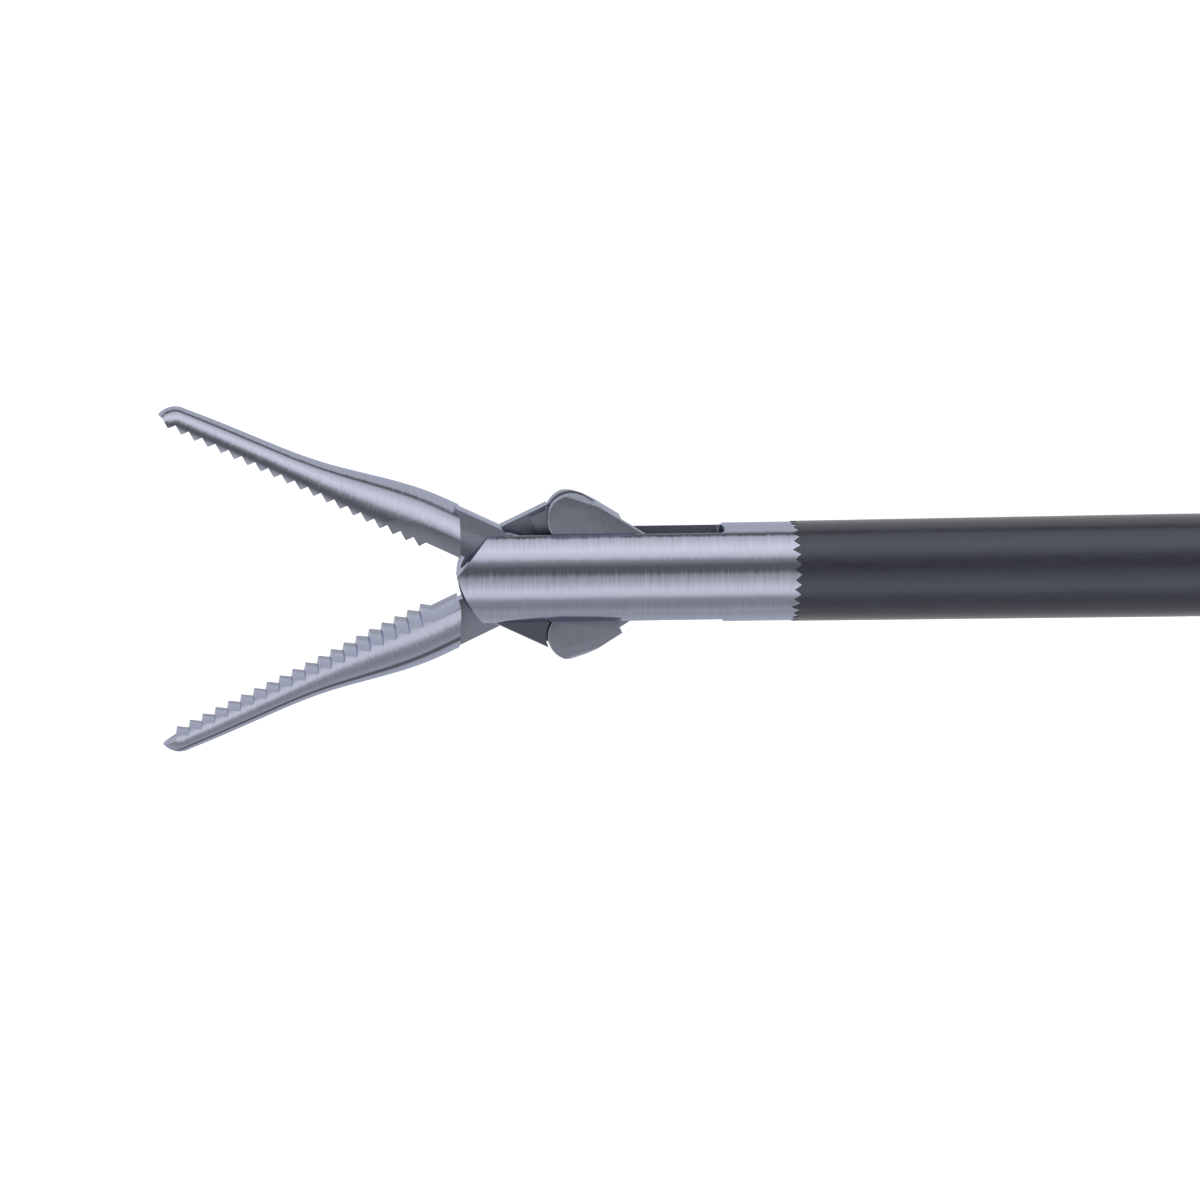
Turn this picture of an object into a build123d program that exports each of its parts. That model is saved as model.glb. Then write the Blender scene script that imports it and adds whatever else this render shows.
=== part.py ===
from build123d import *
from math import asin, atan2, cos, degrees, radians, sin, sqrt
import os

# Insulated 5 mm laparoscopic duck nose forceps, lying on its side with the jaws open.
# X runs along the shaft from the jaws to the handle, the jaws open in the XY plane,
# and every pivot stands along Z. The origin is on the shaft's axis at the front
# face of the rotation knob. All lengths are in millimetres.

# Shaft
shaft_diameter = 5.0
insulation_wall = 0.40
insulation_tip_diameter = 4.84
insulation_taper = 18.0
insulation_in_knob = 6.0
insulation_pinch = 0.20
tube_wall = 0.40
working_length = 330.0

# Clevis, the forked end piece that carries the jaws
clevis_diameter = 4.78
clevis_length = 14.2
nose_reach = 2.33
far_nose_reach = 2.05
nose_height = 0.36
nose_slope = 0.89
belly_reach = 1.83
belly_drop = 0.90
chin_reach = 0.79
slot_width = 2.20
slot_depth = 10.6
pocket_diameter = 3.0
pocket_length = 1.6
spigot_length = 6.0
blind_skin = 0.40

# Jaws
jaw_length = 18.3
jaw_opening = 25.5
root_radius = 2.20
hump_distance = 5.2
hump_radius = 2.17
waist_distance = 9.6
waist_radius = 1.44
nose_length = 1.1
bill_radius = 0.96
tooth_pitch = 0.69
tooth_height = 0.30
steep_flank = 0.32
root_flat = 0.06
first_tooth = 4.29
bite_gap = 0.05
shoulder_distance = 2.14
relief_height = 2.0
relief_length = 8.0
hub_radius = 2.20
jaw_pin_diameter = 1.20

# Tangs, links and their pins
play = 0.05
elbow_back = 4.17
elbow_side = 1.14
elbow_radius = 1.20
elbow_gap = 0.08
tang_half_width = 1.02
elbow_pin_diameter = 0.90
tongue_thickness = 0.60
tongue_radius = 0.92
link_length = 5.74
link_head = 2.15
link_half_width = 0.93
rod_pin_diameter = 0.90
rod_pin_clearance = 0.18

# Push rod
rod_diameter = 2.0
rod_bore_clearance = 0.10
rod_head_diameter = 2.10
rod_tongue_length = 2.2
spool_behind_bush = 11.0
spool_flange_radius = 2.7
spool_flange_width = 1.0
spool_groove = 2.0

# Rotation knob
knob_length = 14.0
knob_radius = 9.0
recess_radius = 3.5
recess_depth = 0.6
knob_flutes = 8
flute_radius = 3.2
journal_radius = 4.4
journal_length = 13.0
journal_groove_depth = 1.2
ring_thickness = 1.4
ring_radius = 6.2

# Handle
handle_half_thickness = 7.0
shell_wall = 2.6
housing_gap = 0.6
housing_height = 10.5
housing_behind_spool = 7.0
cavity_depth = 4.2
edge_round = 2.2
finger_opening = 23.0
finger_stretch = 17.0
ring_rim = 5.0
ring_thickness_half = 5.5
finger_drop = 70.0
thumb_opening = 24.0
thumb_reach = 39.2
thumb_drop = 61.8
screw_diameter = 2.5
screw_head_diameter = 4.6
screw_head_depth = 2.2

# Thumb lever
lever_arm = 6.2
lever_thickness = 7.0
lever_pin_diameter = 4.0
running_gap = 0.05
fork_hub_radius = 3.0
prong_neck = 1.1

# Electrode connector
connector_diameter = 4.0
connector_reach = 14.0
connector_root_radius = 1.7
connector_gap = 0.6
bush_radius = 3.2
bush_length = 8.0
bush_behind_journal = 2.0
bush_to_collar = 0.4

shaft_radius = shaft_diameter / 2
clevis_radius = clevis_diameter / 2
tube_radius = shaft_radius - insulation_wall
tube_bore = tube_radius - tube_wall
pivot_x = jaw_length - working_length
clevis_end = pivot_x + clevis_length
half_slot = slot_width / 2
plate_out = half_slot - play
plate_in = play - 0.01
rod_radius = rod_diameter / 2
rod_bore = rod_radius + rod_bore_clearance
elbow_reach = sqrt(elbow_back**2 + elbow_side**2)
elbow_closed = degrees(asin(elbow_side / elbow_reach))
elbow_open = elbow_closed + jaw_opening
link_open = degrees(asin(elbow_reach * sin(radians(elbow_open)) / link_length))
link_closed = degrees(asin(elbow_side / link_length))
rod_pin_open = elbow_reach * cos(radians(elbow_open)) + link_length * cos(radians(link_open))
rod_pin_closed = elbow_back + link_length * cos(radians(link_closed))
rod_travel = rod_pin_closed - rod_pin_open
envelope = clevis_radius - 0.03
bill_distance = jaw_length - nose_length
tooth_count = int((jaw_length - first_tooth) / tooth_pitch)
journal_end = knob_length + journal_length
bush_front = journal_end + bush_behind_journal
connector_place = bush_front + bush_length / 2
spool_position = bush_front + bush_length + spool_behind_bush
housing_front = knob_length + housing_gap
housing_end = spool_position + housing_behind_spool
lever_travel = 2 * degrees(asin(rod_travel / 2 / lever_arm))

print("rod travel", round(rod_travel, 4), "link turns", round(link_open - link_closed, 3))
print("lever travel", round(lever_travel, 3))
print("pivot", pivot_x, "rod pin", pivot_x + rod_pin_open, "elbow", elbow_reach, elbow_open)

os.makedirs("parts", exist_ok=True)


def jaw_frame(side):
    """Frame of one jaw at its pivot: x points back along the jaw, y away from the other jaw."""
    turn = radians(jaw_opening)
    return Plane(
        origin=(pivot_x, 0, 0),
        x_dir=(cos(turn), -side * sin(turn), 0),
        z_dir=(0, 0, side),
    )


def across(frame, distance):
    """Plane square to the frame's x axis, at a distance along it."""
    origin = frame.origin + frame.x_dir * distance
    return Plane(origin=origin, x_dir=frame.y_dir, z_dir=frame.x_dir)


# The two jaws are one part used twice, the second turned half round the shaft's axis.
# Only the teeth differ, so that the points of one jaw meet the roots of the other.
def make_jaw(name, side):
    frame = jaw_frame(side)
    turn = radians(jaw_opening)
    valley = bite_gap / 2 + tooth_height / 2
    crest = bite_gap / 2 - tooth_height / 2
    gentle_flank = 1 - steep_flank - root_flat
    crest_step = steep_flank if side > 0 else gentle_flank
    half_step = 0 if side > 0 else gentle_flank + root_flat / 2
    first = first_tooth - half_step * tooth_pitch

    with BuildPart() as bill:
        with BuildSketch(frame):
            with BuildLine():
                shape = Spline(
                    (-2.0, root_radius),
                    (-hump_distance, hump_radius),
                    (-waist_distance, waist_radius),
                    (-bill_distance, bill_radius),
                    tangents=[(-1, 0), (-1, -0.07)],
                )
                nose = ThreePointArc(
                    shape @ 1,
                    (-jaw_length + 0.30, bill_radius * 0.68),
                    (-jaw_length, 0),
                )
                Polyline(nose @ 1, (-2.0, 0), (-2.0, root_radius))
            make_face()
        revolve(axis=Axis(frame.origin, frame.x_dir))
        with BuildSketch(frame):
            with BuildLine():
                points = [(0, valley), (-first, valley)]
                for tooth in range(tooth_count):
                    start = -first - tooth * tooth_pitch
                    points.append((start - crest_step * tooth_pitch, crest))
                    points.append((start - (1 - root_flat) * tooth_pitch, valley))
                points.append((-jaw_length - 1, valley))
                Polyline(*points, (-jaw_length - 1, -4), (0, -4), close=True)
            make_face()
        extrude(amount=4, both=True, mode=Mode.SUBTRACT)
        with BuildSketch(frame):
            with BuildLine():
                foot = Vector(-shoulder_distance * cos(turn), -shoulder_distance * sin(turn))
                low = foot + Vector(2 * sin(turn), -2 * cos(turn))
                high = foot + Vector(-4 * sin(turn), 4 * cos(turn))
                Polyline(low, high, (4, high.Y), (4, low.Y), close=True)
            make_face()
        extrude(amount=4, both=True, mode=Mode.SUBTRACT)
        with BuildSketch(frame.offset(relief_height)):
            Rectangle(2 * relief_length, 4 * root_radius)
        extrude(amount=root_radius, mode=Mode.SUBTRACT)

    with BuildPart() as plate:
        with BuildSketch(frame.offset(plate_in)):
            Circle(hub_radius)
            with BuildLine():
                Polyline(
                    (-3.6, valley),
                    (-3.6, root_radius - 0.02),
                    (-1.25, root_radius - 0.02),
                    (0.6, 1.40),
                    (0, 0),
                    (-1.5, valley),
                    close=True,
                )
            make_face()
            with Locations((elbow_back / 2, -elbow_side)):
                Rectangle(elbow_back, 2 * tang_half_width)
            with Locations((elbow_back, -elbow_side)):
                Circle(elbow_radius + elbow_gap, mode=Mode.SUBTRACT)
        extrude(amount=plate_out - plate_in)
        with BuildSketch(frame.offset(-tongue_thickness / 2)):
            with Locations((elbow_back, -elbow_side)):
                Circle(tongue_radius)
            with Locations((elbow_back - 0.9, -elbow_side)):
                Rectangle(1.8, 2 * (tongue_radius - 0.06))
        extrude(amount=tongue_thickness)
        with BuildSketch(across(frame, -4)):
            Circle(envelope)
        extrude(amount=12, mode=Mode.INTERSECT)
        with BuildSketch(frame.offset(-half_slot)):
            Circle(jaw_pin_diameter / 2 + 0.03)
            with Locations((elbow_back, -elbow_side)):
                Circle(elbow_pin_diameter / 2 + 0.03)
        extrude(amount=slot_width, mode=Mode.SUBTRACT)

    with BuildPart() as jaw:
        add(bill.part)
        add(plate.part)
    jaw.part.label = name
    export_step(jaw.part, "parts/" + name + ".step")
    return jaw.part


upper_jaw = make_jaw("jaw_upper", 1)
lower_jaw = make_jaw("jaw_lower", -1)


# Each link is a plate whose forked head straddles the tongue of a jaw's tang.
# The upper link hangs on the lower jaw's tang, and the lower link on the upper jaw's.
# The far half of each head is cut back to clear the other link when the jaws are shut.
def link_frame(side):
    """Frame of a link at its elbow: x points to the rod pin, y away from the shaft's axis."""
    height = side * elbow_reach * sin(radians(elbow_open))
    place = (pivot_x + elbow_reach * cos(radians(elbow_open)), height, 0)
    turn = radians(link_open)
    return Plane(origin=place, x_dir=(cos(turn), -side * sin(turn), 0), z_dir=(0, 0, side))


def make_link(name, side):
    frame = link_frame(side)
    prong_in = tongue_thickness / 2 + play
    cross = radians(2 * link_closed)
    shut_middle = (link_length * (1 - cos(cross) / 2), -link_length * sin(cross) / 2)
    with BuildPart() as link:
        with BuildSketch(frame.offset(prong_in)):
            Circle(elbow_radius)
            with Locations((link_length, 0)):
                Circle(link_half_width)
            make_hull()
        extrude(amount=plate_out - prong_in)
        with BuildSketch(frame.offset(-plate_out)):
            Circle(elbow_radius)
            with Locations((link_length, 0)):
                Circle(link_half_width)
            make_hull()
            with Locations((link_head + link_length, 0)):
                Rectangle(2 * link_length, 4 * elbow_radius, mode=Mode.SUBTRACT)
            with Locations(shut_middle):
                SlotCenterToCenter(
                    link_length,
                    2 * (elbow_radius + play),
                    rotation=2 * link_closed,
                    mode=Mode.SUBTRACT,
                )
        extrude(amount=plate_out + prong_in)
        with BuildSketch(frame.offset(-prong_in)):
            Circle(tongue_radius + 0.12)
            with Locations((-elbow_radius, 0)):
                Rectangle(2 * elbow_radius, 4 * elbow_radius)
            Rectangle(1.2, 4 * elbow_radius)
        extrude(amount=2 * prong_in, mode=Mode.SUBTRACT)
        with BuildSketch(frame.offset(-plate_out)):
            Circle(elbow_pin_diameter / 2)
            with Locations((link_length, 0)):
                Circle(rod_pin_diameter / 2 + rod_pin_clearance)
        extrude(amount=2 * plate_out, mode=Mode.SUBTRACT)
        lean = radians(link_closed)
        shaft_line = Vector(cos(lean), sin(lean), 0)
        rod_end = frame.from_local_coords(Vector(link_length, 0, 0))
        direction = frame.x_dir * shaft_line.X + frame.y_dir * shaft_line.Y
        with BuildSketch(Plane(origin=rod_end - direction * 9, x_dir=frame.z_dir, z_dir=direction)):
            Circle(envelope)
        extrude(amount=12, mode=Mode.INTERSECT)
    link.part.label = name
    export_step(link.part, "parts/" + name + ".step")

    with BuildPart() as pin:
        with BuildSketch(frame.offset(-plate_out)):
            Circle(elbow_pin_diameter / 2)
        extrude(amount=2 * plate_out)
    pin.part.label = name.replace("link", "elbow_pin")
    export_step(pin.part, "parts/" + pin.part.label + ".step")
    return link.part


upper_link = make_link("link_upper", 1)
lower_link = make_link("link_lower", -1)


# The clevis is turned from bar, slotted for the jaws, and its spigot sits in the tube.
with BuildPart() as clevis:
    with BuildSketch(Plane.YZ.offset(pivot_x - nose_reach)):
        Circle(clevis_radius)
    extrude(amount=nose_reach + clevis_length)
    with BuildSketch(Plane.YZ.offset(clevis_end)):
        Circle(tube_bore - 0.01)
    extrude(amount=spigot_length)
    # Each arm's nose has a straight brow towards one jaw and a round belly towards the other.
    for side, reach in ((1, nose_reach), (-1, far_nose_reach)):
        beyond = 1.2 * clevis_radius
        with BuildSketch(Plane(origin=(pivot_x, 0, 0), x_dir=(1, 0, 0), z_dir=(0, 0, side))):
            with BuildLine():
                tip = (-reach, nose_height)
                brow = Line(tip, (nose_slope * (beyond - nose_height) - reach, beyond))
                chin = ThreePointArc(
                    tip,
                    (-belly_reach, -belly_drop),
                    (-chin_reach, -clevis_radius),
                )
                Polyline(
                    brow @ 1,
                    (-nose_reach - 1, beyond),
                    (-nose_reach - 1, -beyond),
                    (-chin_reach, -beyond),
                    chin @ 1,
                )
            make_face()
        extrude(amount=clevis_radius, mode=Mode.SUBTRACT)
    with BuildSketch(Plane.XZ.offset(-clevis_radius)):
        with Locations((pivot_x + slot_depth / 2 - 2, 0)):
            RectangleRounded(slot_depth + 4, slot_width, 0.2)
    extrude(amount=clevis_diameter, mode=Mode.SUBTRACT)
    with BuildSketch(Plane.YZ.offset(pivot_x + slot_depth - 0.3)):
        Circle(pocket_diameter / 2)
    extrude(amount=pocket_length + 0.3, mode=Mode.SUBTRACT)
    with BuildSketch(Plane.YZ.offset(pivot_x + slot_depth)):
        Circle(rod_bore + 0.1)
    extrude(amount=clevis_length + spigot_length, mode=Mode.SUBTRACT)
    with BuildSketch(Plane.XY.offset(-clevis_radius)):
        with Locations((pivot_x, 0)):
            Circle(jaw_pin_diameter / 2)
    extrude(amount=clevis_diameter - blind_skin, mode=Mode.SUBTRACT)
clevis.part.label = "clevis"
export_step(clevis.part, "parts/clevis.step")

# The jaw pin goes in from the back, is welded and ground flush with the clevis.
with BuildPart() as jaw_pin:
    with BuildSketch(Plane.XY.offset(-clevis_radius)):
        with Locations((pivot_x, 0)):
            Circle(jaw_pin_diameter / 2)
    extrude(amount=clevis_diameter - blind_skin)
    with BuildSketch(Plane.YZ.offset(pivot_x - 2)):
        Circle(clevis_radius)
    extrude(amount=4, mode=Mode.INTERSECT)
jaw_pin.part.label = "jaw_pin"
export_step(jaw_pin.part, "parts/jaw_pin.step")

# The steel tube runs from the clevis to the back of the knob's journal.
with BuildPart() as shaft_tube:
    with BuildSketch(Plane.YZ.offset(clevis_end)):
        Circle(tube_radius)
        Circle(tube_bore, mode=Mode.SUBTRACT)
    extrude(amount=journal_end - clevis_end)
shaft_tube.part.label = "shaft_tube"
export_step(shaft_tube.part, "parts/shaft_tube.step")

# The insulation is shrunk over the tube and thins towards the clevis.
with BuildPart() as insulation:
    with BuildSketch(Plane.XY):
        with BuildLine():
            Polyline(
                (clevis_end, tube_radius),
                (clevis_end, insulation_tip_diameter / 2),
                (clevis_end + insulation_taper, shaft_radius),
                (0, shaft_radius),
                (0, shaft_radius - insulation_pinch),
                (insulation_in_knob, shaft_radius - insulation_pinch),
                (insulation_in_knob, tube_radius),
                close=True,
            )
        make_face()
    revolve(axis=Axis.X)
insulation.part.label = "insulation_sleeve"
export_step(insulation.part, "parts/insulation_sleeve.step")

# The rod head joins both links on one pin and is welded to the push rod.
rod_pin_x = pivot_x + rod_pin_open
rod_start = rod_pin_x + rod_tongue_length
with BuildPart() as rod_head:
    with BuildSketch(Plane.XY.offset(-tongue_thickness / 2)):
        with Locations((rod_pin_x, 0)):
            Circle(link_half_width - 0.05)
        with Locations((rod_pin_x + rod_tongue_length / 2 + 0.2, 0)):
            Rectangle(rod_tongue_length + 0.4, 2 * (link_half_width - 0.05))
        with Locations((rod_pin_x, 0)):
            Circle(rod_pin_diameter / 2, mode=Mode.SUBTRACT)
    extrude(amount=tongue_thickness)
    with BuildSketch(Plane.YZ.offset(rod_start)):
        Circle(rod_head_diameter / 2)
    extrude(amount=3.0)
rod_head.part.label = "rod_head"
export_step(rod_head.part, "parts/rod_head.step")

with BuildPart() as rod_pin:
    with BuildSketch(Plane.XY.offset(-plate_out + 0.04)):
        with Locations((rod_pin_x, 0)):
            Circle(rod_pin_diameter / 2)
    extrude(amount=2 * plate_out - 0.08)
rod_pin.part.label = "rod_pin"
export_step(rod_pin.part, "parts/rod_pin.step")

spool_front = spool_position - spool_groove / 2 - spool_flange_width
with BuildPart() as push_rod:
    with BuildSketch(Plane.YZ.offset(rod_start + 3.0)):
        Circle(rod_radius)
    extrude(amount=spool_front - rod_start - 3.0)
push_rod.part.label = "push_rod"
export_step(push_rod.part, "parts/push_rod.step")

# The spool on the rod's back end turns freely between the prongs of the drive fork.
with BuildPart() as rod_spool:
    with BuildSketch(Plane.YZ.offset(spool_front)):
        Circle(spool_flange_radius)
    extrude(amount=spool_flange_width)
    with BuildSketch(Plane.YZ.offset(spool_position - spool_groove / 2)):
        Circle(rod_radius)
    extrude(amount=spool_groove)
    with BuildSketch(Plane.YZ.offset(spool_position + spool_groove / 2)):
        Circle(spool_flange_radius)
    extrude(amount=spool_flange_width)
    chamfer(rod_spool.edges().filter_by(GeomType.CIRCLE).sort_by(Axis.X)[-1], 0.3)
rod_spool.part.label = "rod_spool"
export_step(rod_spool.part, "parts/rod_spool.step")

# The rotation knob is fluted outside and turns in the handle on its journal.
with BuildPart() as knob:
    with BuildSketch(Plane.XY):
        with BuildLine():
            front = Line((0, recess_radius), (0, 4.2))
            flare = Spline(
                front @ 1,
                (3.0, 6.6),
                (6.5, knob_radius),
                tangents=[(0.6, 1), (1, 0)],
            )
            Polyline(
                flare @ 1,
                (knob_length - 1.2, knob_radius),
                (knob_length, knob_radius - 1.2),
                (knob_length, journal_radius),
                (journal_end, journal_radius),
                (journal_end, tube_radius),
                (insulation_in_knob, tube_radius),
                (insulation_in_knob, shaft_radius - insulation_pinch),
                (recess_depth, shaft_radius - insulation_pinch),
                (recess_depth, recess_radius),
                front @ 0,
            )
        make_face()
    revolve(axis=Axis.X)
    with BuildSketch(Plane.YZ.offset(3.5)):
        with PolarLocations(knob_radius + flute_radius * 0.62, knob_flutes):
            Circle(flute_radius)
    extrude(amount=knob_length, mode=Mode.SUBTRACT)
    groove_x = knob_length + journal_length / 2
    with BuildSketch(Plane.YZ.offset(groove_x - ring_thickness / 2)):
        Circle(journal_radius + 1)
        Circle(journal_radius - journal_groove_depth, mode=Mode.SUBTRACT)
    extrude(amount=ring_thickness, mode=Mode.SUBTRACT)
knob.part.label = "rotation_knob"
export_step(knob.part, "parts/rotation_knob.step")

# A split ring in the journal's groove holds the knob in the handle.
ring_gap = 1.6
with BuildPart() as retaining_ring:
    with BuildSketch(Plane.YZ.offset(groove_x - ring_thickness / 2)):
        Circle(ring_radius)
        Circle(journal_radius - journal_groove_depth, mode=Mode.SUBTRACT)
        with Locations((0, ring_radius)):
            Rectangle(ring_gap, 2 * ring_radius, mode=Mode.SUBTRACT)
    extrude(amount=ring_thickness)
retaining_ring.part.label = "retaining_ring"
export_step(retaining_ring.part, "parts/retaining_ring.step")

# Handle outline: a housing round the shaft's axis, a front arm and the finger ring.
finger_x = housing_front + housing_height + 6
finger_y = -finger_drop
lever_x = spool_position + rod_travel / 2
lever_y = -lever_arm
thumb_x = lever_x + thumb_reach
thumb_y = lever_y - thumb_drop
finger_outer = finger_opening + 2 * ring_rim
thumb_outer = thumb_opening + 2 * ring_rim

with BuildSketch(Plane.XY) as housing_shape:
    with Locations((housing_front + housing_height, 0)):
        Rectangle(2 * housing_height, 2 * housing_height - 1)
    with Locations((housing_end - 9, -1.5)):
        Circle(housing_height + 2)
    make_hull()

with BuildSketch(Plane.XY) as arm_shape:
    with Locations((finger_x - 4, -6)):
        Circle(7.5)
    with Locations((finger_x + 1, finger_y + 22)):
        Circle(6.5)
    make_hull()

with BuildSketch(Plane.XY) as finger_ring_shape:
    with Locations((finger_x, finger_y)):
        SlotCenterToCenter(finger_stretch, finger_outer, rotation=90)

with BuildSketch(Plane.XY) as finger_hole_shape:
    with Locations((finger_x, finger_y)):
        SlotCenterToCenter(finger_stretch, finger_opening, rotation=90)

bearing_end = journal_end + housing_gap
screw_places = [(housing_end - 1.5, 6.0), (finger_x - 2.6, -17.0), (finger_x, finger_y + 27.0)]
screw_head_radius = screw_head_diameter / 2


def make_shell(name, side):
    """One half of the handle, split on the plane of the shaft's axis."""
    outward = Plane(origin=(0, 0, 0), x_dir=(1, 0, 0), z_dir=(0, 0, side))
    with BuildPart() as shell:
        with BuildSketch(Plane.XY):
            add(housing_shape.sketch)
            add(arm_shape.sketch)
            add(finger_ring_shape.sketch)
            add(finger_hole_shape.sketch, mode=Mode.SUBTRACT)
        extrude(amount=side * handle_half_thickness)
        rim = shell.faces().sort_by(Axis.Z)[-1 if side > 0 else 0].edges()
        chamfer(rim, edge_round)
        with BuildSketch(Plane.XY):
            offset(housing_shape.sketch, amount=-shell_wall)
            with Locations((housing_front, 0)):
                Rectangle(2 * (bearing_end - housing_front), 4 * housing_height, mode=Mode.SUBTRACT)
        extrude(amount=side * cavity_depth, mode=Mode.SUBTRACT)
        with BuildSketch(Plane.XY):
            with Locations((lever_x, lever_y)):
                Circle(6)
            with Locations((lever_x + 26, lever_y - 24), (lever_x - 3, lever_y - 26)):
                Circle(6)
            make_hull()
        extrude(amount=side * cavity_depth, mode=Mode.SUBTRACT)
        with BuildSketch(Plane.YZ.offset(housing_front - 1)):
            Circle(journal_radius + running_gap)
        extrude(amount=bearing_end - housing_front + 2, mode=Mode.SUBTRACT)
        with BuildSketch(Plane.YZ.offset(groove_x - ring_thickness / 2 - 0.3)):
            Circle(ring_radius + 0.3)
        extrude(amount=ring_thickness + 0.6, mode=Mode.SUBTRACT)
        with BuildSketch(Plane.XY):
            with Locations((lever_x, lever_y)):
                Circle(lever_pin_diameter / 2 + 2)
        extrude(amount=side * (handle_half_thickness - 0.8))
        with BuildSketch(Plane.XY):
            with Locations((lever_x, lever_y)):
                Circle(lever_pin_diameter / 2 + 3)
        extrude(amount=side * (lever_thickness / 2 + 0.3), mode=Mode.SUBTRACT)
        with BuildSketch(Plane.XY):
            with Locations((lever_x, lever_y)):
                Circle(lever_pin_diameter / 2)
        extrude(amount=side * (handle_half_thickness - 1.2), mode=Mode.SUBTRACT)
        with BuildSketch(Plane.XY):
            with Locations(*screw_places):
                Circle(screw_diameter / 2)
        extrude(amount=side * (handle_half_thickness - (2.0 if side < 0 else 0)), mode=Mode.SUBTRACT)
        if side > 0:
            with BuildSketch(Plane.XY.offset(handle_half_thickness - screw_head_depth)):
                with Locations(*screw_places):
                    Circle(screw_head_radius + 0.1)
            extrude(amount=screw_head_depth, mode=Mode.SUBTRACT)
        with BuildSketch(Plane.XZ.offset(-bush_radius)):
            with Locations((connector_place, 0)):
                Circle(connector_diameter / 2 + 1.2)
        extrude(amount=-2 * housing_height, mode=Mode.SUBTRACT)
    shell.part.label = name
    export_step(shell.part, "parts/" + name + ".step")
    return shell.part


upper_shell = make_shell("handle_shell_upper", 1)
lower_shell = make_shell("handle_shell_lower", -1)

# Countersunk socket screws clamp the two shells together.
with BuildPart() as screws:
    with BuildSketch(Plane.XY.offset(handle_half_thickness - screw_head_depth)):
        with Locations(*screw_places):
            Circle(screw_head_radius)
    extrude(amount=screw_head_depth - 0.3)
    with BuildSketch(Plane.XY.offset(-handle_half_thickness + 2.2)):
        with Locations(*screw_places):
            Circle(screw_diameter / 2)
    extrude(amount=2 * handle_half_thickness - screw_head_depth - 2.0)
    with BuildSketch(Plane.XY.offset(handle_half_thickness - 1.5)):
        with Locations(*screw_places):
            RegularPolygon(0.9, 6)
    extrude(amount=1.5, mode=Mode.SUBTRACT)
screws.part.label = "handle_screws"
export_step(screws.part, "parts/handle_screws.step")

with BuildPart() as lever_pin:
    with BuildSketch(Plane.XY.offset(-handle_half_thickness + 1.3)):
        with Locations((lever_x, lever_y)):
            Circle(lever_pin_diameter / 2)
    extrude(amount=2 * (handle_half_thickness - 1.3))
lever_pin.part.label = "lever_pin"
export_step(lever_pin.part, "parts/lever_pin.step")

# The steel drive fork turns on the lever pin, and its prongs stand in the spool's groove.
with BuildPart() as drive_fork:
    with BuildSketch(Plane.XY.offset(-lever_thickness / 2)):
        with Locations((lever_x, lever_y)):
            Circle(fork_hub_radius)
        with Locations(((spool_position + lever_x) / 2, lever_y / 2)):
            Rectangle(prong_neck, lever_arm, rotation=lever_travel / 2)
        with Locations((spool_position, 0)):
            Circle(spool_groove / 2 - running_gap)
    extrude(amount=lever_thickness)
    with BuildSketch(Plane.XZ.offset(-2)):
        with Locations((spool_position, 0)):
            Rectangle(12, 2 * (rod_radius + 0.25))
    extrude(amount=2 + spool_flange_radius + 0.2, mode=Mode.SUBTRACT)
    with BuildSketch(Plane.XY.offset(-lever_thickness / 2 + 2)):
        with Locations((lever_x, lever_y)):
            Circle(2.2)
        with Locations((lever_x + 9, lever_y - 15)):
            Circle(2.2)
        make_hull()
    extrude(amount=lever_thickness - 4)
    with BuildSketch(Plane.XY.offset(-lever_thickness / 2)):
        with Locations((lever_x, lever_y)):
            Circle(lever_pin_diameter / 2 + running_gap)
    extrude(amount=lever_thickness, mode=Mode.SUBTRACT)
drive_fork.part.label = "drive_fork"
export_step(drive_fork.part, "parts/drive_fork.step")

# The thumb lever is moulded over the fork's tang and ends in the thumb ring.
with BuildPart() as thumb_lever:
    with BuildSketch(Plane.XY.offset(-lever_thickness / 2)):
        with Locations((lever_x + 5.5, lever_y - 9.5)):
            Circle(3.6)
        with Locations((lever_x + 22, lever_y - 36)):
            Circle(5.0)
        make_hull()
    extrude(amount=lever_thickness)
    with BuildSketch(Plane.XY.offset(-ring_thickness_half)):
        with Locations((lever_x + 21, lever_y - 34.5)):
            Circle(4.5)
        with Locations((thumb_x - 9, thumb_y + 14)):
            Circle(6.0)
        make_hull()
        with Locations((thumb_x, thumb_y)):
            Circle(thumb_opening / 2 + 1, mode=Mode.SUBTRACT)
    extrude(amount=2 * ring_thickness_half)
    chamfer(thumb_lever.edges().filter_by(Plane.XY).group_by(Axis.Z)[-1], 1.2)
    chamfer(thumb_lever.edges().filter_by(Plane.XY).group_by(Axis.Z)[0], 1.2)
    with BuildSketch(Plane.XZ.offset(-thumb_y)):
        with Locations((thumb_x + thumb_opening / 2 + ring_rim / 2, 0)):
            RectangleRounded(ring_rim, 2 * ring_thickness_half, 2.2)
    revolve(axis=Axis((thumb_x, thumb_y, 0), (0, 0, 1)))
    add(drive_fork.part, mode=Mode.SUBTRACT)
thumb_lever.part.label = "thumb_lever"
export_step(thumb_lever.part, "parts/thumb_lever.step")

# The contact bush rides on the rod and carries current from the connector pin.
with BuildPart() as contact_bush:
    with BuildSketch(Plane.YZ.offset(bush_front)):
        Circle(bush_radius)
        Circle(rod_radius + running_gap, mode=Mode.SUBTRACT)
    extrude(amount=bush_length)
contact_bush.part.label = "contact_bush"
export_step(contact_bush.part, "parts/contact_bush.step")

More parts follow.
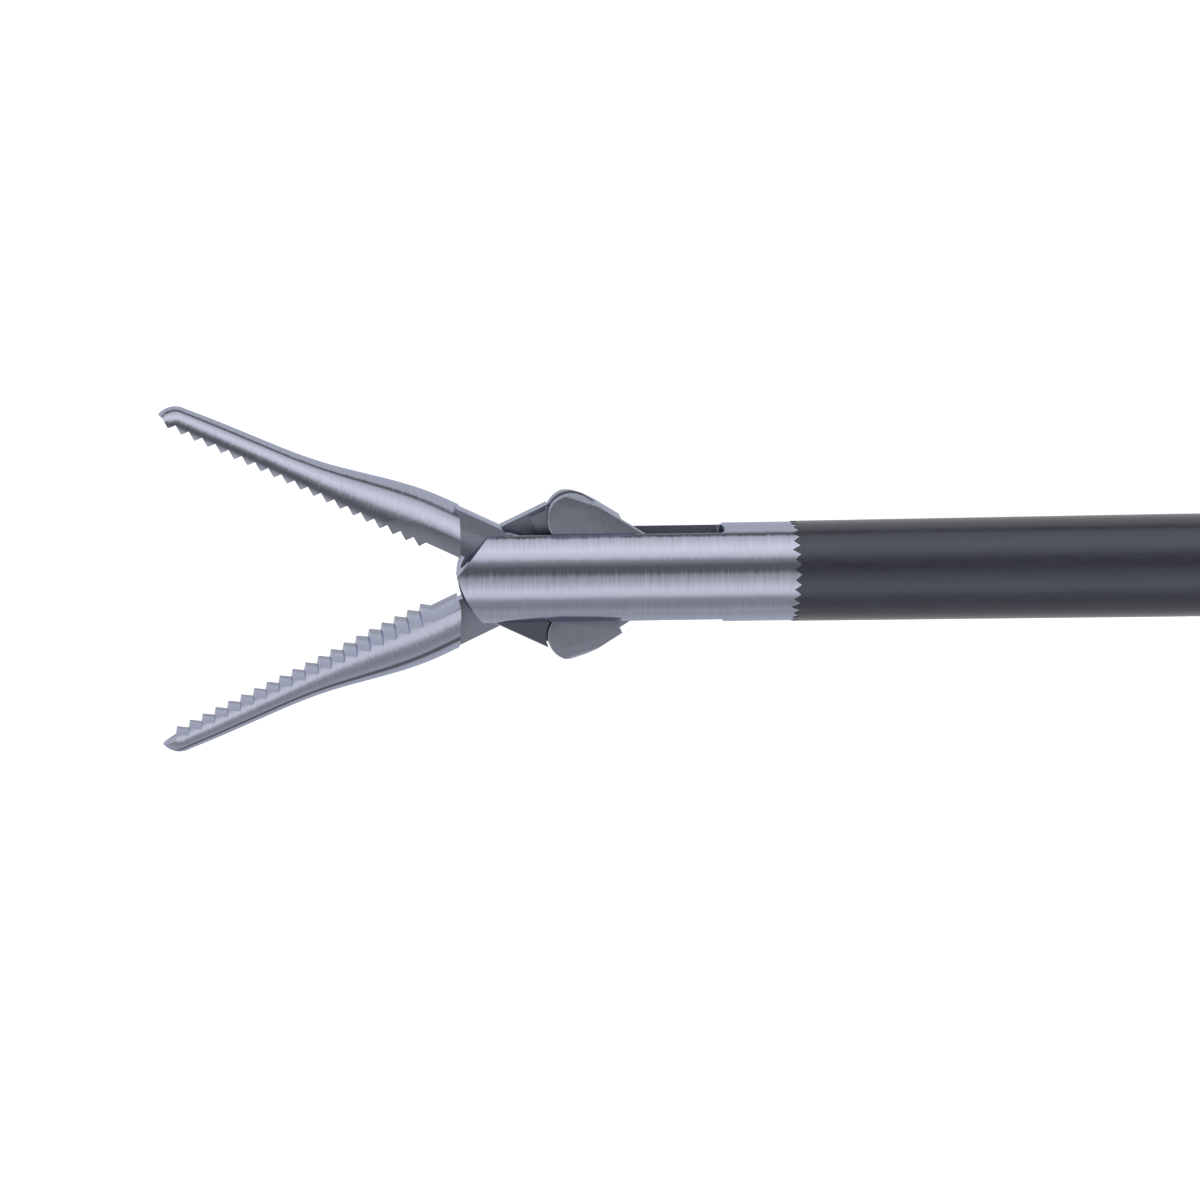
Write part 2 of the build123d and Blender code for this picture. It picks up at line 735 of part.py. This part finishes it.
connector_root = bush_radius - 0.2
connector_shoulder = housing_height + 1.5
with BuildPart() as connector_pin:
    with BuildSketch(Plane.XZ.offset(-connector_root)):
        with Locations((connector_place, 0)):
            Circle(connector_root_radius)
    extrude(amount=-(connector_shoulder + connector_gap - connector_root))
    with BuildSketch(Plane.XZ.offset(-connector_shoulder - connector_gap)):
        with Locations((connector_place, 0)):
            Circle(connector_diameter / 2)
    extrude(amount=-connector_reach)
    add(contact_bush.part, mode=Mode.SUBTRACT)
connector_pin.part.label = "connector_pin"
export_step(connector_pin.part, "parts/connector_pin.step")

with BuildPart() as connector_collar:
    with BuildSketch(Plane.XZ.offset(-bush_radius - bush_to_collar)):
        with Locations((connector_place, 0)):
            Circle(connector_diameter / 2 + 1.15)
            Circle(connector_root_radius, mode=Mode.SUBTRACT)
    extrude(amount=-(connector_shoulder - bush_radius - bush_to_collar))
connector_collar.part.label = "connector_collar"
export_step(connector_collar.part, "parts/connector_collar.step")

# A seal in the tube's back end wipes the rod.
with BuildPart() as rod_seal:
    with BuildSketch(Plane.YZ.offset(journal_end - 4)):
        Circle(tube_bore - 0.01)
        Circle(rod_radius + 0.02, mode=Mode.SUBTRACT)
    extrude(amount=3)
rod_seal.part.label = "rod_seal"
export_step(rod_seal.part, "parts/rod_seal.step")
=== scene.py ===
import bmesh
import bpy
import math
from mathutils import Matrix, Vector


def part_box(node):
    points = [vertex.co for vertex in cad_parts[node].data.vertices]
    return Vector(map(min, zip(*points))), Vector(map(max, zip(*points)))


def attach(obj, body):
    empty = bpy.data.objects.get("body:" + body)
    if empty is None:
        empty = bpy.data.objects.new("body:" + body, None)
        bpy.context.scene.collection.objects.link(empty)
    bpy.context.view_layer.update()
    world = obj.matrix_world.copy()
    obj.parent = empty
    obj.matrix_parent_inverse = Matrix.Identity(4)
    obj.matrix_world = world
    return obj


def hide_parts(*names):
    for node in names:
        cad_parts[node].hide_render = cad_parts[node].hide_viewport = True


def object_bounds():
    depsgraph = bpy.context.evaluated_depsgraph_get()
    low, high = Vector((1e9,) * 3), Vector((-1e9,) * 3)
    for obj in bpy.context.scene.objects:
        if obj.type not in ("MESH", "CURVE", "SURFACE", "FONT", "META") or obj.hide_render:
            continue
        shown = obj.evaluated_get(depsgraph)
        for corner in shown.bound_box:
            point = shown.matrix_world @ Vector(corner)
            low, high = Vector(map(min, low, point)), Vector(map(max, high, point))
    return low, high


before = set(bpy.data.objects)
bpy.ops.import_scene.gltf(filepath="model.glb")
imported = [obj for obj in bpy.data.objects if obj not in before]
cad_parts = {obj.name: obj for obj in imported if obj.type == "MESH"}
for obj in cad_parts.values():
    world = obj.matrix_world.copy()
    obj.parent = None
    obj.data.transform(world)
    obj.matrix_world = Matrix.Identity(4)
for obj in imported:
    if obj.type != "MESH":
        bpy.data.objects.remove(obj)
cad_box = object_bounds()

# Camera.
# It looks down on the jaws from a little above the shaft and a little beyond the tip,
# with a long lens, so that only the tip and the first part of the shaft are in view.
MM = 0.001
pivot = Vector((-311.7 * MM, 0, 0))
to_camera = Vector((-0.077, 0.191, 0.979)).normalized()
camera_right = Vector((0, 1, 0)).cross(to_camera).normalized()
camera_up = to_camera.cross(camera_right)
camera_distance = 0.26
view_width = 57.7 * MM
aim_right, aim_down = 4.66 * MM, 1.20 * MM
sensor_width = 36

target = pivot + camera_right * aim_right - camera_up * aim_down
camera_data = bpy.data.cameras.new("camera")
camera_data.sensor_width = sensor_width
camera_data.lens = sensor_width * camera_distance / view_width
camera_data.clip_start = 10 * MM
camera = bpy.data.objects.new("camera", camera_data)
turn = Matrix((camera_right, camera_up, to_camera)).transposed().to_4x4()
camera.matrix_world = Matrix.Translation(target + to_camera * camera_distance) @ turn
bpy.context.scene.collection.objects.link(camera)
bpy.context.scene.camera = camera
bpy.context.scene.view_settings.view_transform = "Standard"


# Floor and studio light.
# The light is a tent whose brightness changes round the shaft's axis: a dark gap where
# the camera looks in, a bright panel on each side of it, and a greyer part low in front.
def link(tree, source, out, sink, into):
    tree.links.new(source.outputs[out], sink.inputs[into])


def add(tree, kind, **settings):
    node = tree.nodes.new(kind)
    for key, value in settings.items():
        setattr(node, key, value)
    return node


def ramp(tree, stops):
    """A ramp of greys, from pairs of position and brightness."""
    node = tree.nodes.new("ShaderNodeValToRGB")
    elements = node.color_ramp.elements
    elements.remove(elements[-1])
    elements[0].position = stops[0][0]
    elements[0].color = (*[stops[0][1]] * 3, 1)
    for position, value in stops[1:]:
        elements.new(position).color = (*[value] * 3, 1)
    return node


def at(degrees):
    """Position on the tent's ramp of an angle round the shaft, from straight up."""
    return (degrees + 180) / 360


world = bpy.data.worlds.new("studio")
bpy.context.scene.world = world
world.use_nodes = True
tree = world.node_tree
tree.nodes.clear()
place = add(tree, "ShaderNodeTexCoord")
parts = add(tree, "ShaderNodeSeparateXYZ")
link(tree, place, "Generated", parts, "Vector")
angle = add(tree, "ShaderNodeMath", operation="ARCTAN2")
link(tree, parts, "Y", angle, 0)
link(tree, parts, "Z", angle, 1)
share = add(tree, "ShaderNodeMapRange")
link(tree, angle, 0, share, "Value")
share.inputs["From Min"].default_value = -math.pi
share.inputs["From Max"].default_value = math.pi
tent = ramp(tree, [
    (at(-90), 0.60),
    (at(-70), 0.40),
    (at(-52), 0.46),
    (at(-41), 1.05),
    (at(-28), 1.15),
    (at(-8), 0.70),
    (at(4), 0.52),
    (at(11), 0.17),
    (at(27), 0.17),
    (at(40), 0.42),
    (at(48), 1.02),
    (at(66), 1.32),
    (at(90), 0.98),
])
link(tree, share, "Result", tent, "Fac")
lit = add(tree, "ShaderNodeBackground")
link(tree, tent, "Color", lit, "Color")
plain = add(tree, "ShaderNodeBackground")
plain.inputs["Color"].default_value = (1, 1, 1, 1)
ray = add(tree, "ShaderNodeLightPath")
choose = add(tree, "ShaderNodeMixShader")
link(tree, ray, "Is Camera Ray", choose, "Fac")
link(tree, lit, 0, choose, 1)
link(tree, plain, 0, choose, 2)
out = add(tree, "ShaderNodeOutputWorld")
link(tree, choose, 0, out, "Surface")

# The floor is white paper. Glossy rays see a painted reflection on it instead: an emission that is greyer
# under the shaft, with a painted dark strip beside the shaft, which only polished surfaces show.
paper_white = 0.82
paper_glow = 0.64
ramp_reach = 100
floor_mesh = bpy.data.meshes.new("floor")
low = cad_box[0].z
reach = 1.5
corners = [(-reach, -reach, low), (reach, -reach, low), (reach, reach, low), (-reach, reach, low)]
floor_mesh.from_pydata(corners, [], [(0, 1, 2, 3)])
floor = bpy.data.objects.new("floor", floor_mesh)
bpy.context.scene.collection.objects.link(floor)
paper = bpy.data.materials.new("paper")
paper.use_nodes = True
tree = paper.node_tree
tree.nodes.clear()
place = add(tree, "ShaderNodeTexCoord")
parts = add(tree, "ShaderNodeSeparateXYZ")
link(tree, place, "Object", parts, "Vector")
across = add(tree, "ShaderNodeMapRange")
across.inputs["From Min"].default_value = -ramp_reach * MM
across.inputs["From Max"].default_value = ramp_reach * MM
link(tree, parts, "Y", across, "Value")


def beside(distance):
    """Position on the floor's ramp of a distance beside the shaft, in millimetres."""
    return (distance + ramp_reach) / (2 * ramp_reach)


# Painted reflection: greys by distance beside the shaft, darker under it and with a painted dark strip
# beside it.
shade = ramp(tree, [
    (beside(-40), 0.56),
    (beside(-10), 0.70),
    (beside(21), 0.78),
    (beside(28), 0.08),
    (beside(42), 0.08),
    (beside(54), 0.90),
])
link(tree, across, "Result", shade, "Fac")
# Glossy rays see this painted reflection in place of the paper.
painted_reflection = add(tree, "ShaderNodeEmission")
link(tree, shade, "Color", painted_reflection, "Color")
ray = add(tree, "ShaderNodeLightPath")
sheet = add(tree, "ShaderNodeBsdfDiffuse")
sheet.inputs["Color"].default_value = (paper_white, paper_white, paper_white, 1)
glow = add(tree, "ShaderNodeEmission")
strength = add(tree, "ShaderNodeMath", operation="MULTIPLY")
link(tree, ray, "Is Camera Ray", strength, 0)
strength.inputs[1].default_value = paper_glow
link(tree, strength, 0, glow, "Strength")
both = add(tree, "ShaderNodeAddShader")
link(tree, sheet, 0, both, 0)
link(tree, glow, 0, both, 1)
choose = add(tree, "ShaderNodeMixShader")
link(tree, ray, "Is Glossy Ray", choose, "Fac")
link(tree, both, 0, choose, 1)
link(tree, painted_reflection, 0, choose, 2)
out = add(tree, "ShaderNodeOutputMaterial")
link(tree, choose, 0, out, "Surface")
floor_mesh.materials.append(paper)


# Clevis.
# It is turned from stainless bar, so fine rings run round it, and then slotted and cut to
# its forked nose. The edges of the cuts are broken, and its flat faces stay matt.
edge_tint = (0.80, 0.84, 0.97, 1)


def new_group(name, inputs):
    group = bpy.data.node_groups.new(name, "ShaderNodeTree")
    for label, kind, value in inputs:
        socket = group.interface.new_socket(label, in_out="INPUT", socket_type="NodeSocket" + kind)
        socket.default_value = value
    group.interface.new_socket("Shade", in_out="OUTPUT", socket_type="NodeSocketFloat")
    group.interface.new_socket("Normal", in_out="OUTPUT", socket_type="NodeSocketVector")
    return group, add(group, "NodeGroupInput"), add(group, "NodeGroupOutput")


# Rings are marks square to an axis. Each ring leans a little round the axis by itself,
# which frays the edges of long reflections as turned steel does.
rings, inside, outside = new_group("turning_marks", [
    ("Axis", "Vector", (1, 0, 0)),
    ("Rings", "Float", 7000),
    ("Slow", "Float", 500),
    ("Wobble", "Float", 0.3),
])
place = add(rings, "ShaderNodeTexCoord")
along = add(rings, "ShaderNodeVectorMath", operation="DOT_PRODUCT")
link(rings, place, "Object", along, 0)
link(rings, inside, "Axis", along, 1)
fast = add(rings, "ShaderNodeMath", operation="MULTIPLY")
link(rings, along, "Value", fast, 0)
link(rings, inside, "Rings", fast, 1)
pushed = add(rings, "ShaderNodeVectorMath", operation="SCALE")
link(rings, inside, "Axis", pushed, 0)
link(rings, fast, 0, pushed, "Scale")
slowed = add(rings, "ShaderNodeVectorMath", operation="SCALE")
link(rings, place, "Object", slowed, 0)
link(rings, inside, "Slow", slowed, "Scale")
spot = add(rings, "ShaderNodeVectorMath", operation="ADD")
link(rings, pushed, 0, spot, 0)
link(rings, slowed, 0, spot, 1)
noise = add(rings, "ShaderNodeTexNoise")
noise.inputs["Scale"].default_value = 1
noise.inputs["Detail"].default_value = 4
noise.inputs["Roughness"].default_value = 0.65
link(rings, spot, 0, noise, "Vector")
link(rings, noise, "Fac", outside, "Shade")
surface = add(rings, "ShaderNodeNewGeometry")
sideways = add(rings, "ShaderNodeVectorMath", operation="CROSS_PRODUCT")
link(rings, inside, "Axis", sideways, 0)
link(rings, surface, "Normal", sideways, 1)
centred = add(rings, "ShaderNodeMath", operation="SUBTRACT")
link(rings, noise, "Fac", centred, 0)
centred.inputs[1].default_value = 0.5
amount = add(rings, "ShaderNodeMath", operation="MULTIPLY")
link(rings, centred, 0, amount, 0)
link(rings, inside, "Wobble", amount, 1)
shift = add(rings, "ShaderNodeVectorMath", operation="SCALE")
link(rings, sideways, 0, shift, 0)
link(rings, amount, 0, shift, "Scale")
leaned = add(rings, "ShaderNodeVectorMath", operation="ADD")
link(rings, surface, "Normal", leaned, 0)
link(rings, shift, 0, leaned, 1)
level = add(rings, "ShaderNodeVectorMath", operation="NORMALIZE")
link(rings, leaned, 0, level, 0)
link(rings, level, 0, outside, "Normal")

# Grain is a fine roughness, as blasting, wire cutting or a mould leaves it.
grain, inside, outside = new_group("fine_grain", [
    ("Stretch", "Vector", (1, 1, 1)),
    ("Depth", "Float", 0.3),
])
place = add(grain, "ShaderNodeTexCoord")
mapping = add(grain, "ShaderNodeMapping")
link(grain, place, "Object", mapping, "Vector")
link(grain, inside, "Stretch", mapping, "Scale")
noise = add(grain, "ShaderNodeTexNoise")
noise.inputs["Scale"].default_value = 1
noise.inputs["Detail"].default_value = 5
noise.inputs["Roughness"].default_value = 0.7
link(grain, mapping, "Vector", noise, "Vector")
link(grain, noise, "Fac", outside, "Shade")
bump = add(grain, "ShaderNodeBump")
bump.inputs["Distance"].default_value = 0.02 * MM
link(grain, inside, "Depth", bump, "Strength")
link(grain, noise, "Fac", bump, "Height")
link(grain, bump, "Normal", outside, "Normal")


def skin(name, group, values, metallic, colour, variation, roughness, spread):
    """A material whose colour, roughness and normal follow one of the groups."""
    made = bpy.data.materials.new(name)
    made.use_nodes = True
    tree = made.node_tree
    shader = tree.nodes["Principled BSDF"]
    shader.inputs["Metallic"].default_value = metallic
    shader.inputs["Specular Tint"].default_value = edge_tint
    marks = add(tree, "ShaderNodeGroup", node_tree=group)
    for label, value in values.items():
        marks.inputs[label].default_value = value
    contrast = add(tree, "ShaderNodeMapRange")
    contrast.inputs["From Min"].default_value = 0.3
    contrast.inputs["From Max"].default_value = 0.7
    link(tree, marks, "Shade", contrast, "Value")
    tint = add(tree, "ShaderNodeMix", data_type="RGBA")
    tint.inputs["A"].default_value = (*[c * (1 - variation) for c in colour], 1)
    tint.inputs["B"].default_value = (*[min(1, c * (1 + variation)) for c in colour], 1)
    link(tree, contrast, "Result", tint, "Factor")
    tree.links.new(tint.outputs["Result"], shader.inputs["Base Color"])
    rough = add(tree, "ShaderNodeMapRange")
    rough.inputs["To Min"].default_value = roughness - spread
    rough.inputs["To Max"].default_value = roughness + spread
    link(tree, contrast, "Result", rough, "Value")
    link(tree, rough, "Result", shader, "Roughness")
    link(tree, marks, "Normal", shader, "Normal")
    return made


axis_gap = 0.3 * MM
least_slope = 0.2
facet_turn = math.radians(8)


def turned_normals(mesh, origin, axis):
    """Gives the round faces of a mesh the normals of a true body of revolution.

    A face is round if it lies clear of the axis and faces away from it within facet_turn.
    """
    lean = {}
    turned = []
    for face in mesh.polygons:
        arm = face.center - origin
        arm -= axis * arm.dot(axis)
        tilt = face.normal.dot(axis)
        flat = face.normal - axis * tilt
        if arm.length > axis_gap and flat.length > least_slope and arm.angle(flat) < facet_turn:
            turned.append(face)
            for corner in face.vertices:
                total, weight = lean.get(corner, (0, 0))
                lean[corner] = (total + tilt * face.area, weight + face.area)
    normals = [Vector(n.vector) for n in mesh.corner_normals]
    for face in turned:
        for loop in face.loop_indices:
            corner = mesh.loops[loop].vertex_index
            total, weight = lean[corner]
            tilt = total / weight
            arm = mesh.vertices[corner].co - origin
            arm -= axis * arm.dot(axis)
            normals[loop] = arm.normalized() * math.sqrt(1 - tilt * tilt) + axis * tilt
    mesh.normals_split_custom_set(normals)


same_point = 0.0005 * MM
same_plane = math.radians(0.6)
level_normal = 0.9999
flats_within = 2.05 * MM
sharp_turn = math.radians(30)
smooth_turn = math.radians(28)
hole_share = 0.55


def folds(e, turn):
    """Whether an edge between two faces turns by more than an angle."""
    return len(e.link_faces) == 2 and e.calc_face_angle() > turn


def finished(node, body, edge, skins, axis=None, origin=Vector((0, 0, 0)), pin=None):
    """Stands for a solid with its edges rounded, but for the hole of a flush pin.

    A second skin goes on its flat cut faces, which lie level and near the shaft's plane.
    """
    bm = bmesh.new()
    bm.from_mesh(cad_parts[node].data)
    bmesh.ops.remove_doubles(bm, verts=bm.verts, dist=same_point)
    bmesh.ops.dissolve_limit(bm, angle_limit=same_plane, verts=bm.verts, edges=bm.edges)
    for face in bm.faces:
        level = abs(face.normal.z) > level_normal
        inner = abs(face.calc_center_median().z) < flats_within
        face.material_index = int(level and inner and len(skins) > 1)
        face.smooth = True
    sharp = [e for e in bm.edges if folds(e, sharp_turn)]
    if pin:
        hole = sum(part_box(pin), Vector((0, 0, 0))) / 2
        width = hole_share * (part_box(pin)[1].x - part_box(pin)[0].x)
        sharp = [e for e in sharp if max((corner.co - hole).xy.length for corner in e.verts) > width]
    bmesh.ops.bevel(
        bm, geom=sharp, offset=edge, segments=2, profile=0.5, affect="EDGES", clamp_overlap=True, material=0
    )
    for e in bm.edges:
        e.smooth = not folds(e, smooth_turn)
    mesh = bpy.data.meshes.new(node + "_finished")
    bm.to_mesh(mesh)
    bm.free()
    for surface_skin in skins:
        mesh.materials.append(surface_skin)
    if axis is not None:
        turned_normals(mesh, origin, axis.normalized())
    piece = bpy.data.objects.new(node + "_finished", mesh)
    bpy.context.scene.collection.objects.link(piece)
    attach(piece, body)
    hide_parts(node)
    return piece


def dressed(node, finish):
    """Gives a CAD solid that is shown as it is its material."""
    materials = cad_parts[node].data.materials
    materials.clear()
    materials.append(finish)


shaft_axis = Vector((1, 0, 0))
bright = (0.45, 0.47, 0.575)
dull = (0.235, 0.247, 0.300)
values = {"Rings": 8000, "Wobble": 0.13}
turned_steel = skin("turned_steel", rings, values, 1, bright, 0.06, 0.17, 0.04)
values = {"Stretch": (6000, 6000, 6000), "Depth": 0.35}
cut_steel = skin("cut_steel", grain, values, 1, dull, 0.14, 0.48, 0.06)
finished("clevis", "shaft", 0.06 * MM, [turned_steel, cut_steel], shaft_axis, pin="jaw_pin")
dressed("jaw_pin", turned_steel)

# Jaws.
# They are milled from one bar, polished along their backs, and toothed where they meet.
# The upper jaw's plate lies nearer to the camera, and the lower jaw is the same part turned.
half_mouth = math.radians(25.5)
for side, node, body in ((1, "jaw_upper", "upper_jaw"), (-1, "jaw_lower", "lower_jaw")):
    jaw_axis = Vector((-math.cos(half_mouth), side * math.sin(half_mouth), 0))
    values = {"Axis": jaw_axis, "Rings": 9000, "Slow": 2500, "Wobble": 0.10}
    polished = skin(node + "_steel", rings, values, 1, bright, 0.08, 0.19, 0.04)
    if side < 0:
        # A painted reflection of a dark band: the lower jaw's colour is darkened in a narrow line along its
        # outer side, where its normal leans one way.
        tree = polished.node_tree
        place = add(tree, "ShaderNodeTexCoord")
        lean = add(tree, "ShaderNodeVectorMath", operation="DOT_PRODUCT")
        link(tree, place, "Normal", lean, 0)
        lean.inputs[1].default_value = jaw_axis.cross((0, 0, -1))
        line = ramp(tree, [(0.63, 1), (0.68, 0.30), (0.73, 0.30), (0.78, 1)])
        link(tree, lean, "Value", line, "Fac")
        # Multiplies the painted dark reflection line into the base colour.
        painted_dark_reflection = add(tree, "ShaderNodeMix", data_type="RGBA", blend_type="MULTIPLY")
        painted_dark_reflection.inputs["Factor"].default_value = 1
        shader = tree.nodes["Principled BSDF"]
        tree.links.new(shader.inputs["Base Color"].links[0].from_socket, painted_dark_reflection.inputs["A"])
        tree.links.new(line.outputs["Color"], painted_dark_reflection.inputs["B"])
        tree.links.new(painted_dark_reflection.outputs["Result"], shader.inputs["Base Color"])
    finished(node, body, 0.025 * MM, [polished, cut_steel], jaw_axis, pivot)

# Links and their pins.
# Stamped and blasted links hang on the jaws' tangs, each with a pin that is ground flush.
values = {"Stretch": (5000, 5000, 1500), "Depth": 0.3}
rim_steel = skin("rim_steel", grain, values, 1, (0.40, 0.42, 0.49), 0.12, 0.30, 0.05)
for side in ("upper", "lower"):
    pin_node = "elbow_pin_" + side
    finished("link_" + side, side + "_link", 0.10 * MM, [rim_steel, cut_steel], pin=pin_node)
    dressed(pin_node, cut_steel)

# Push rod, its head, pin and spool, and the steel tube round it.
# Drawn and polished wire inside a drawn tube, both with faint rings from polishing.
values = {"Rings": 3000, "Slow": 900, "Wobble": 0.2}
drawn_steel = skin("drawn_steel", rings, values, 1, bright, 0.12, 0.22, 0.05)
for node in ("push_rod", "rod_head", "rod_pin", "rod_spool", "shaft_tube"):
    dressed(node, drawn_steel)
values = {"Stretch": (4000, 4000, 4000)}
dressed("rod_seal", skin("seal_rubber", grain, values, 0, (0.045, 0.045, 0.048), 0.2, 0.62, 0.08))

# Insulation sleeve.
# A slate-coloured shrunk sleeve. It thins towards the clevis and ends there in a row of
# small points, cut so that its edge beds down on the steel.
sleeve_wall = 0.38 * MM
point_reach = 0.8 * MM
full_pull = 1.6
point_columns = 8
sleeve_rings = 90
ring_crowding = 2.0
point_unevenness = 4.0
sleeve_fold = math.radians(40)
sleeve_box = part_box("insulation_sleeve")
values = {"Stretch": (600, 2600, 2600), "Depth": 0.16}
sleeve_skin = skin("sleeve_skin", grain, values, 0, (0.036, 0.037, 0.051), 0.12, 0.26, 0.05)
sleeve_skin.node_tree.nodes["Principled BSDF"].inputs["Specular IOR Level"].default_value = 0.8
tree = bpy.data.node_groups.new("shrunk_sleeve", "GeometryNodeTree")
tree.interface.new_socket("Geometry", in_out="INPUT", socket_type="NodeSocketGeometry")
sizes = {
    "Front": sleeve_box[0].x,
    "Length": sleeve_box[1].x - sleeve_box[0].x,
    "Tip Radius": 2.42 * MM,
    "Radius": 2.50 * MM,
    "Taper": 18 * MM,
    "Point Depth": 0.38 * MM,
}
sockets = {}
for label in (*sizes, "Points"):
    kind = "NodeSocketInt" if label == "Points" else "NodeSocketFloat"
    sockets[label] = tree.interface.new_socket(label, in_out="INPUT", socket_type=kind).identifier
tree.interface.new_socket("Geometry", in_out="OUTPUT", socket_type="NodeSocketGeometry")
inside = add(tree, "NodeGroupInput")
outside = add(tree, "NodeGroupOutput")


def sums(operation, first, second=None):
    """A math node on two values, each a number or a pair of node and output."""
    node = add(tree, "ShaderNodeMath", operation=operation)
    for index, value in enumerate((first, second)):
        if isinstance(value, tuple):
            link(tree, value[0], value[1], node, index)
        elif value is not None:
            node.inputs[index].default_value = value
    return node, 0


def fades(value, start, end, low_value, high_value):
    """A map from one range of a value to another, with its ends held."""
    node = add(tree, "ShaderNodeMapRange")
    labels = ("Value", "From Min", "From Max", "To Min", "To Max")
    for label, part in zip(labels, (value, start, end, low_value, high_value)):
        if isinstance(part, tuple):
            link(tree, part[0], part[1], node, label)
        else:
            node.inputs[label].default_value = part
    return node, 0


around = sums("MULTIPLY", (inside, "Points"), point_columns)
pipe = add(tree, "GeometryNodeMeshCylinder", fill_type="NONE")
link(tree, around[0], 0, pipe, "Vertices")
pipe.inputs["Side Segments"].default_value = sleeve_rings
pipe.inputs["Radius"].default_value = 1
pipe.inputs["Depth"].default_value = 1
spot = add(tree, "GeometryNodeInputPosition")
parts = add(tree, "ShaderNodeSeparateXYZ")
link(tree, spot, 0, parts, 0)
crowded = sums("POWER", fades((parts, "Z"), -0.5, 0.5, 0.0, 1.0), ring_crowding)
from_front = sums("MULTIPLY", crowded, (inside, "Length"))
angle = sums("ARCTAN2", (parts, "Y"), (parts, "X"))
turns = sums("DIVIDE", angle, 2 * math.pi)
wave = sums("PINGPONG", sums("MULTIPLY", turns, (inside, "Points")), 0.5)
uneven = add(tree, "ShaderNodeTexNoise")
uneven.inputs["Scale"].default_value = point_unevenness
pointed = sums("MULTIPLY", sums("MULTIPLY", wave, 2.0), (uneven, "Fac"))
near = fades(from_front, 0.0, point_reach, 1.0, 0.0)
furthest = sums("MULTIPLY", (inside, "Point Depth"), full_pull)
pull = sums("MULTIPLY", sums("MULTIPLY", pointed, near), furthest)
x_place = sums("SUBTRACT", sums("ADD", from_front, (inside, "Front")), pull)
radius = fades(from_front, 0.0, (inside, "Taper"), (inside, "Tip Radius"), (inside, "Radius"))
moved = add(tree, "ShaderNodeCombineXYZ")
link(tree, x_place[0], 0, moved, "X")
link(tree, sums("MULTIPLY", (parts, "X"), radius)[0], 0, moved, "Y")
link(tree, sums("MULTIPLY", (parts, "Y"), radius)[0], 0, moved, "Z")
shaped = add(tree, "GeometryNodeSetPosition")
link(tree, pipe, "Mesh", shaped, "Geometry")
link(tree, moved, 0, shaped, "Position")
coated = add(tree, "GeometryNodeSetMaterial")
coated.inputs["Material"].default_value = sleeve_skin
link(tree, shaped, 0, coated, "Geometry")
real = add(tree, "GeometryNodeRealizeInstances")
link(tree, coated, 0, real, "Geometry")
link(tree, real, 0, outside, "Geometry")

maker = bpy.data.objects.new("sleeve_maker", bpy.data.meshes.new("sleeve_maker"))
bpy.context.scene.collection.objects.link(maker)
shaping = maker.modifiers.new("shape", "NODES")
shaping.node_group = tree
for label, value in sizes.items():
    shaping[sockets[label]] = value
shaping[sockets["Points"]] = 30
wall = maker.modifiers.new("wall", "SOLIDIFY")
wall.thickness = sleeve_wall
wall.offset = -1
evaluated = maker.evaluated_get(bpy.context.evaluated_depsgraph_get())
sleeve_mesh = bpy.data.meshes.new_from_object(evaluated)
bpy.data.objects.remove(maker)
bm = bmesh.new()
bm.from_mesh(sleeve_mesh)
bmesh.ops.recalc_face_normals(bm, faces=bm.faces)
for face in bm.faces:
    face.smooth = True
for e in bm.edges:
    e.smooth = not folds(e, sleeve_fold)
bm.to_mesh(sleeve_mesh)
bm.free()
sleeve = bpy.data.objects.new("sleeve", sleeve_mesh)
bpy.context.scene.collection.objects.link(sleeve)
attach(sleeve, "shaft")
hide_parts("insulation_sleeve")

# Rotation knob.
# Moulded in one piece with its journal, with eight flutes for the fingertips. A split
# steel ring in the journal's groove holds it in the handle.
values = {"Stretch": (3500, 3500, 3500), "Depth": 0.45}
knob_skin = skin("knob_skin", grain, values, 0, (0.050, 0.055, 0.068), 0.15, 0.42, 0.06)
finished("rotation_knob", "shaft", 0.25 * MM, [knob_skin], shaft_axis)
dressed("retaining_ring", drawn_steel)

# Handle shells, thumb lever and collar.
# Two moulded halves meet on the shaft's plane, with a small groove left by their rounded
# edges. The lever is moulded over the steel fork and ends in the thumb ring.
values = {"Stretch": (3200, 3200, 3200), "Depth": 0.6}
handle_skin = skin("handle_skin", grain, values, 0, (0.030, 0.031, 0.035), 0.20, 0.46, 0.06)
for node, body, edge in (
    ("handle_shell_upper", "handle", 0.35),
    ("handle_shell_lower", "handle", 0.35),
    ("thumb_lever", "lever", 0.40),
    ("connector_collar", "handle", 0.25),
):
    finished(node, body, edge * MM, [handle_skin])

# Drive fork, lever pin, screws and connector.
# Steel hardware of the handle: a matt fork, a ground pin, blasted socket screws, and the
# plated pin for the cable with its brass bush on the rod.
values = {"Rings": 6000, "Slow": 500, "Wobble": 0.3}
brass = skin("turned_brass", rings, values, 1, (0.75, 0.58, 0.32), 0.10, 0.22, 0.05)
values = {"Stretch": (4000, 4000, 4000), "Depth": 0.3}
screw_steel = skin("screw_steel", grain, values, 1, (0.38, 0.39, 0.43), 0.15, 0.34, 0.06)
for node, finish in (
    ("drive_fork", cut_steel),
    ("lever_pin", screw_steel),
    ("handle_screws", screw_steel),
    ("connector_pin", drawn_steel),
    ("contact_bush", brass),
):
    dressed(node, finish)
